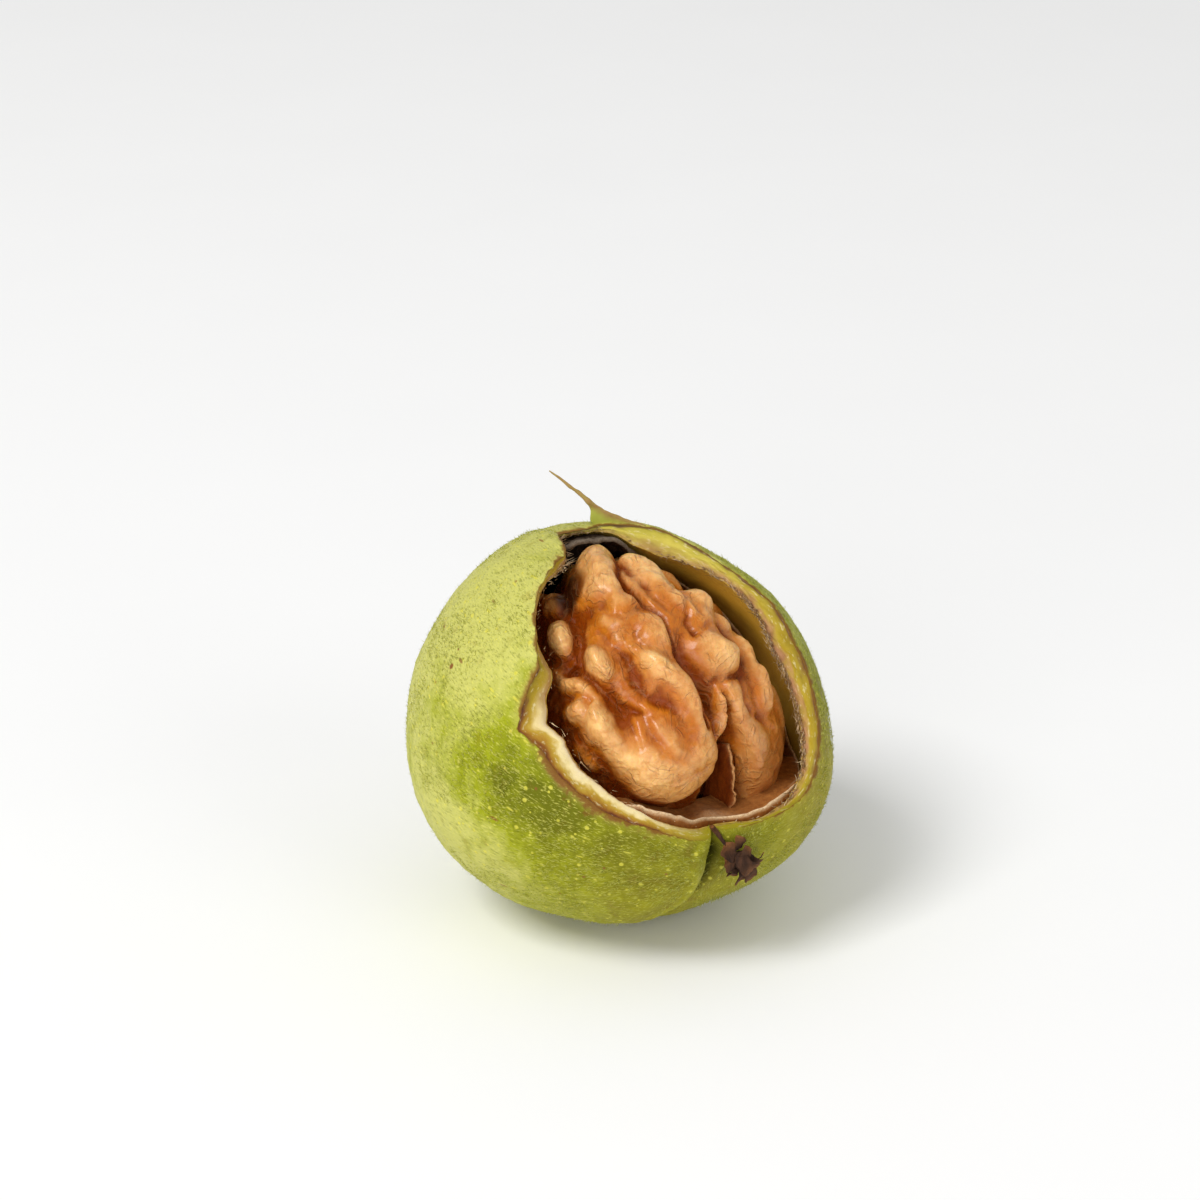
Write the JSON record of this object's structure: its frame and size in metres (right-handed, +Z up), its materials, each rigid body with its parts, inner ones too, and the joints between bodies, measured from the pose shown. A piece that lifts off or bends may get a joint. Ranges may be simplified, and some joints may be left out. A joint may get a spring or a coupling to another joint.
{
  "type": "walnut in split green husk",
  "caption": "Round green walnut husk lying on its side, torn open at the front on a lobed golden-brown kernel, with shell remnant, papery partition and dried blossom scar.",
  "frame": {"origin": "middle of the small flat that the husk rests on, straight below the husk's centre", "axes": "+Z up, out of the surface it rests on; -Y towards the front, where the torn mouth and the blossom scar face; +X to the right of that view"},
  "size_m": [0.0544, 0.0536, 0.0549],
  "materials": {
    "green_husk": "satin",
    "shell": "matte",
    "kernel": "satin",
    "partition": "matte",
    "dried_blossom": "matte"
  },
  "bodies": {
    "root": {"green_husk": "green_husk", "shell": "shell", "kernel": "kernel", "partition": "partition", "dried_blossom": "dried_blossom"}
  },
  "joints": []
}
